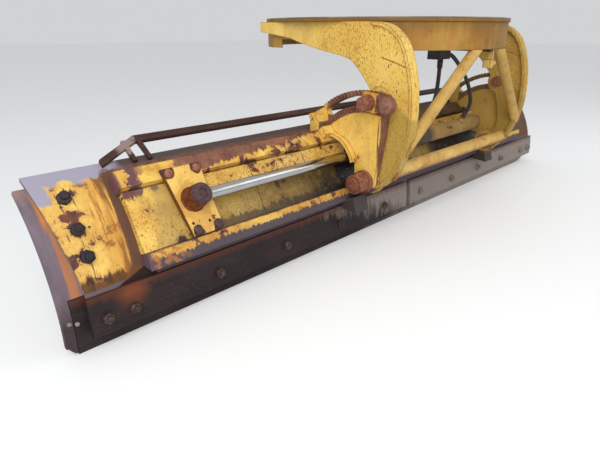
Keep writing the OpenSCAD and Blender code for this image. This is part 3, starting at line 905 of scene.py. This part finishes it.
def smooth_route(points):
    """A smooth line through the points, as the CAD's own sweep follows it."""
    points = [Vector(p) for p in points]
    line = []
    for i in range(len(points) - 1):
        a, b, c, d = (points[max(0, min(len(points) - 1, i + k))] for k in (-1, 0, 1, 2))
        for k in range(steps_per_point):
            t = k / steps_per_point
            line.append(0.5 * (2 * b + (c - a) * t + (2 * a - 5 * b + 4 * c - d) * t * t
                               + (3 * b - a - 3 * c + d) * t ** 3))
    return line + [points[-1]]


def crimp(name, at, towards, body):
    """The steel sleeve pressed onto a hose's end, with the hexagon that turns into the port."""
    sleeve = turned([(9.5, 9), (12.5, 10), (12.5, 16), (11.2, 18), (12.5, 20), (12.5, 26),
                     (11.2, 28), (12, 30), (10.4, 33), (9.2, 33)], 24)
    flats = turned([(12.5, 0.5), (14, 1.5), (14, 9.5), (12.5, 10.5)], 6)
    join(sleeve, flats)
    put(sleeve, facing(at, towards - at))
    return finish_piece(sleeve, name, edge_nut_steel, body)


def lay_hose(name, route, node):
    """A hose with a crimp at each end, in place of its CAD node."""
    line = smooth_route(route)
    data = bpy.data.curves.new(name, "CURVE")
    data.dimensions, data.use_fill_caps = "3D", True
    data.bevel_depth, data.bevel_resolution = hose_radius, 4
    spline = data.splines.new("POLY")
    spline.points.add(len(line) - 1)
    for point, at in zip(spline.points, line):
        point.co = (*at, 1)
    choose(new_object(name, data))
    bpy.ops.object.convert(target="MESH")
    hose = bpy.context.object
    finish_piece(hose, name, hose_rubber, None)
    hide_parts(node)
    ends = [crimp(name + "_top_crimp", line[0], line[1], "circle_frame"),
            crimp(name + "_port_crimp", line[-1], line[-2], "tip_carrier")]
    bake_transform(hose)


lay_hose("pressure_hose", route_a, "hose_a")
lay_hose("return_hose", route_b, "hose_b")

# %% [markdown]
# ## Nuts on the cutting edges
#
# Plough bolts hold the edges, with their heads sunk flush in the front and their nuts on the back.
# The bolts are 12 inches apart, and that spacing is also what gave this model its size. One nut is
# modelled, from a six-sided cylinder whose top is inset and lifted, and then copied.

# %% One hexagon nut with its bolt end


def raised_prism(sides, radius, bottom, top, steps):
    """A round or six-sided block whose top face is inset and lifted by (inset, lift) steps."""
    choose()
    bpy.ops.mesh.primitive_cylinder_add(vertices=sides, radius=radius, depth=top - bottom,
                                        location=(0, 0, (bottom + top) / 2))
    bpy.ops.object.transform_apply(location=True)
    edit_faces()
    for inset, lift in steps:
        pick_top(bottom + 0.9 * (top - bottom))
        bpy.ops.mesh.inset(thickness=inset)
        bpy.ops.transform.translate(value=(0, 0, lift))
    bpy.ops.object.mode_set(mode="OBJECT")
    return bpy.context.object


def make_nut(radius, height, stub):
    """A hexagon nut with its corners rounded, and the end of its bolt standing out of it."""
    nut = raised_prism(6, radius, 0, height, [(radius * 0.14, height * 0.12)])
    edit_faces()
    bpy.ops.mesh.bevel(offset=radius * 0.05, segments=2, affect="EDGES")
    bpy.ops.object.mode_set(mode="OBJECT")
    end = raised_prism(20, radius * 0.52, height, height + stub, [(radius * 0.1, radius * 0.08)])
    return join(nut, end)


def on_back(x, angle, far, rise=0):
    """A point off the blade's back by its angle up the curve, raised along it, and the way out."""
    turn = math.radians(angle)
    out = Vector((0, -math.cos(turn), math.sin(turn)))
    up = Vector((0, math.sin(turn), math.cos(turn)))
    return Vector((x, curve_y, curve_z)) + out * far + up * rise, out


# %% Nuts along the two back strips
bolt_spacing = 0.3048
edge_x = [-1.619, -1.54] + [round(-1.24 + bolt_spacing * i, 4) for i in range(4)]
edge_x += [round(-0.0208 + bolt_spacing * i, 4) for i in range(5)] + [1.31]
bolt_row = 3.6  # degrees up the curve
strip_face = curve_r + 0.0158
# Each nut stops at its own turn, so every copy is turned a little more.
places = [facing(*on_back(x, bolt_row, strip_face), 0.4 * i) for i, x in enumerate(edge_x)]
# The nuts left of X -0.2 m are dark, and the others are pale steel with a painted highlight.
steels = [pale_highlit_nut_steel if x > -0.2 else edge_nut_steel for x in edge_x]
copies(make_nut(0.0165, 0.013, 0.008), "edge_nut", places, steels, "blade")

# %% Three nuts on the left end of the blade's back
end_bit_x = -1.625
plate_back = curve_r - 0.0003
places = [facing(*on_back(end_bit_x, angle, plate_back), 0.5 * i)
          for i, angle in enumerate((44, 33, 24))]
copies(make_nut(0.02, 0.015, 0.01), "end_bit_nut", places, dark_nut_steel, "blade")

# %% [markdown]
# ## Bolts on the anchor plate
#
# The plate that takes the push of the piston rod is bolted down at its corners. The heads are
# round and rusty from wear, so each starts as a cylinder whose top is inset and lifted into a dome.

# %% Round bolt heads
rod_angle = 31.8
anchor_face, anchor_left = 0.5395, -1.354
head_radius, head_height = 0.014, 0.008
# Each bolt's place from the plate's left end, and up from the rod's line.
anchor_bolts = [(0.044, -0.094), (0.119, -0.094), (0.119, 0.094), (0.02, 0.094)]

dome_steps = [(head_radius * inset, head_height * lift)
              for inset, lift in ((0.14, 0.22), (0.22, 0.16), (0.3, 0.06))]
head = raised_prism(24, head_radius, 0, head_height, dome_steps)
places = [facing(*on_back(anchor_left + along, rod_angle, anchor_face, up))
          for along, up in anchor_bolts]
# The two lower heads are in the oil, so they are purple-brown rather than rusty.
copies(head, "anchor_bolt", places, [cap_steel] * 2 + [nut_steel] * 2, "blade", smooth=50)

# %% [markdown]
# ## The stud's cap
#
# The rod pushes on a ball stud. A cap with a socket in its end closes it, and it is the darkest,
# oiliest thing on the plate. It is raised from one disc, step by step, and the last steps go back
# down to leave the socket.

# %% Stud cap
stud_x, stud_far = -1.286, 0.5952
cap = turned([(33, 0), (33.5, 3), (32.5, 10), (29, 14), (18, 15), (15, 14.5), (12.5, 9.2),
              (6, 8.8)], 40)
put(cap, facing(*on_back(stud_x, rod_angle, stud_far)))
finish_piece(cap, "stud_cap", cap_steel, "blade")

# %% [markdown]
# ## Weld beads
#
# The cross tube, the stud and the cylinder's ports are welded on. A bead is laid by hand, so it is
# a ring that a cloud pattern, 8 mm from lump to lump, pushes in and out by about its own width.

# %% Weld beads
rod_y, rod_z = -0.25994, -0.5189
tube_end, tube_y, tube_z = 0.4985, -0.434, -0.566
port_height = 0.0355
weld_texture = bpy.data.textures.new("weld_ripple", "CLOUDS")
weld_texture.noise_scale = 0.008


def torus(radius, thickness, segments, sides):
    """A plain ring round the Z axis."""
    choose()
    bpy.ops.mesh.primitive_torus_add(major_radius=radius, minor_radius=thickness,
                                     major_segments=segments, minor_segments=sides)
    return bpy.context.object


def weld_ring(name, at, normal, radius, bead, finish, body, slot):
    """A lumpy bead where a round piece is welded on."""
    ring = torus(radius, bead, 96, 8)
    lumps = ring.modifiers.new("lumps", "DISPLACE")
    lumps.texture, lumps.strength, lumps.mid_level = weld_texture, bead * 0.9, 0.5
    bpy.ops.object.modifier_apply(modifier="lumps")
    put(ring, facing(at, normal))
    return finish_piece(ring, name, finish, body, smooth=80)


for side, word in ((-1, "left"), (1, "right")):
    weld_ring("cross_tube_weld_" + word, (side * tube_end, tube_y, tube_z), (1, 0, 0), 0.0292,
              0.0055, enamel_brace, "circle_frame", "yellow_paint")
weld_ring("stud_weld", *on_back(stud_x, rod_angle, anchor_face + 0.0007), 0.036, 0.005,
          orange_steel, "blade", "rusty_steel")
port_up = Vector((0, -0.5, 0.866))
for i, x in enumerate((-0.15, 0.33)):
    weld_ring(f"port_weld_{i + 1}", Vector((x, rod_y, rod_z)) + port_up * port_height, port_up,
              0.0165, 0.004, enamel_barrel, "tip_carrier", "yellow_paint")

# %% [markdown]
# ## Pin caps, grease nipples and the rod's wiper
#
# Every pin is closed by a cap with a rim, and is greased by hand, so each cap ends in a small
# nipple: a hexagon, a neck and a ball for the grease gun. The tail of each clamp has a plain dome.
# The wiper is the rubber lip that keeps grit out of the cylinder.

# %% Pin caps and grease nipples
cap_height = 12.2
pin_end = 0.6221
nipple = turned([(6, 0), (6, 4), (4.2, 4.5), (4.2, 10), (2.8, 12), (2.8, 14), (3.6, 15.5),
                 (3.6, 17.5), (2.4, 19.5)], 12)
pivot_ends = [((side * pin_end, pivot_y, pivot_z), (side, 0, 0)) for side in (-1, 1)]
cap = turned([(37.5, 0), (38.5, 1.5), (38.5, 6), (37, 8), (31, 8), (30, 6.2), (28, 6.2), (27, 10.5),
              (20, cap_height), (8, 12.4)], 48)
copies(cap, "pin_cap", [facing(*end) for end in pivot_ends], nut_steel, "circle_frame")
places = [facing(Vector(at) + Vector(way) * cap_height / 1000, way) for at, way in pivot_ends]
copies(nipple, "grease_nipple", places, nut_steel, "circle_frame", smooth=60)

# %% Domes on the clamp's tail
dome = turned([(31.6, 0), (31.8, 3), (30, 8), (25, 12.5), (16, 15.5), (6, 16.5)], 40)
tail_x, tail_y, tail_z = 0.5959, -0.452, -0.298
places = [facing((side * tail_x, tail_y, tail_z), (side, 0, 0)) for side in (-1, 1)]
copies(dome, "clamp_dome", places, dome_steel, "circle_frame", smooth=70)

# %% Rod wiper
gland_x = -0.5335
wiper = torus(0.025, 0.0045, 64, 12)
# The lip is flatter than a round ring.
bpy.ops.transform.resize(value=(1, 1, 0.7), center_override=(0, 0, 0))
put(wiper, facing((gland_x, rod_y, rod_z), (1, 0, 0)))
finish_piece(wiper, "rod_wiper", hose_rubber, "tip_carrier", smooth=80)

# %% [markdown]
# ## Bolts on the guard and the ends
#
# Plough bolts show as flush round heads on the front of the cutting edges. The front is out of the
# photograph, but the bolts go through, so they are put there too. Two short bolt ends stand out of
# the left end plate, and one small bolt sits at each end of the guard.

# %% Plough bolt heads
plate_thick, edge_thick, head_sunk = 0.016, 0.019, 0.0002
front_far = curve_r - plate_thick - edge_thick - head_sunk
head = turned([(16.5, -2), (16.5, 0.6), (15.5, 1), (7.5, 1), (6.5, 0.2)], 28)
sunk = [on_back(x, bolt_row, front_far) for x in edge_x]
copies(head, "plough_bolt", [facing(at, -out) for at, out in sunk], dark_nut_steel, "blade")

# %% Two bolt ends on the left end
places = [facing(*on_back(x, angle, curve_r - 0.0165))
          for x, angle in ((-1.711, 4.7), (-1.691, 3.7))]
stub = turned([(6.2, 0), (6.4, 1), (6.2, 4.5), (5, 5.8)], 20)
# The bolt ends are pale, with a painted highlight.
copies(stub, "end_bolt", places, pale_highlit_nut_steel, "blade")

# %% Guard bolts
guard_angle, guard_far, bolt_rise, bolt_turn = 55, curve_r + 0.0118, 0.061, 0.3
places = [facing(*on_back(x, guard_angle, guard_far, bolt_rise), bolt_turn)
          for x in (-1.35, 0.567)]
# The guard bolts are pale, with a painted highlight.
copies(make_nut(0.008, 0.006, 0.004), "guard_bolt", places, pale_highlit_nut_steel, "blade")

# %% [markdown]
# ## Floor and light
#
# The floor is a plain pale sheet that takes the shadow. The world gives a soft, slightly blue light
# from all round. The camera, mirrors and glass see a plain pale grey instead, so the background
# could be matched to the photograph without a change of the light.

# %% Floor
choose()
bpy.ops.mesh.primitive_plane_add(size=60, location=(0, 0, cad_box[0][2]))
floor = bpy.context.object
floor.name = "floor"
floor_finish, tree, shader = new_finish("pale_floor")
# The camera sees the floor a little brighter than it is, so that it ends softly in the background.
glow = 0.11
lift = add("Math multiply", add("LightPath", out="Is Camera Ray", tree=tree), glow)
plug(shader, {"Base Color": linear("#F0F0EE"), "Roughness": 0.9,
              "Emission Color": linear("#FFFFFF"), "Emission Strength": lift})
floor.data.materials.append(floor_finish)

# %% World
world = bpy.data.worlds.new("studio")
bpy.context.scene.world = world
world.use_nodes = True
tree = world.node_tree
tree.nodes.clear()
ray = add("LightPath", tree=tree).node.outputs
seen = either(*(ray[f"Is {kind} Ray"] for kind in ("Camera", "Glossy", "Transmission")))
light, backdrop = 0.72, 1.0
strength = add("MapRange", seen, 0, 1, light, backdrop)
sky = add("Background", over(seen, "#E2E5EA", "#D0D2D4"), strength)
plug(tree.nodes.new("ShaderNodeOutputWorld"), {"Surface": sky})

# %% Lamps


def softbox(name, at, towards, size, power):
    """A square lamp, with its side in metres and its power in watts, turned towards a point."""
    data = bpy.data.lights.new(name, "AREA")
    data.energy, data.size = power, size
    lamp = new_object(name, data)
    lamp.matrix_world = facing(at, Vector(at) - Vector(towards))
    print(name, "lamp", power, "W")


softbox("key", (-3.9, -3.4, 2.4), (-0.4, -0.1, -0.5), size=3.6, power=215)
softbox("fill", (2.4, -2.8, 1.6), (0.2, -0.2, -0.5), size=2.5, power=26)
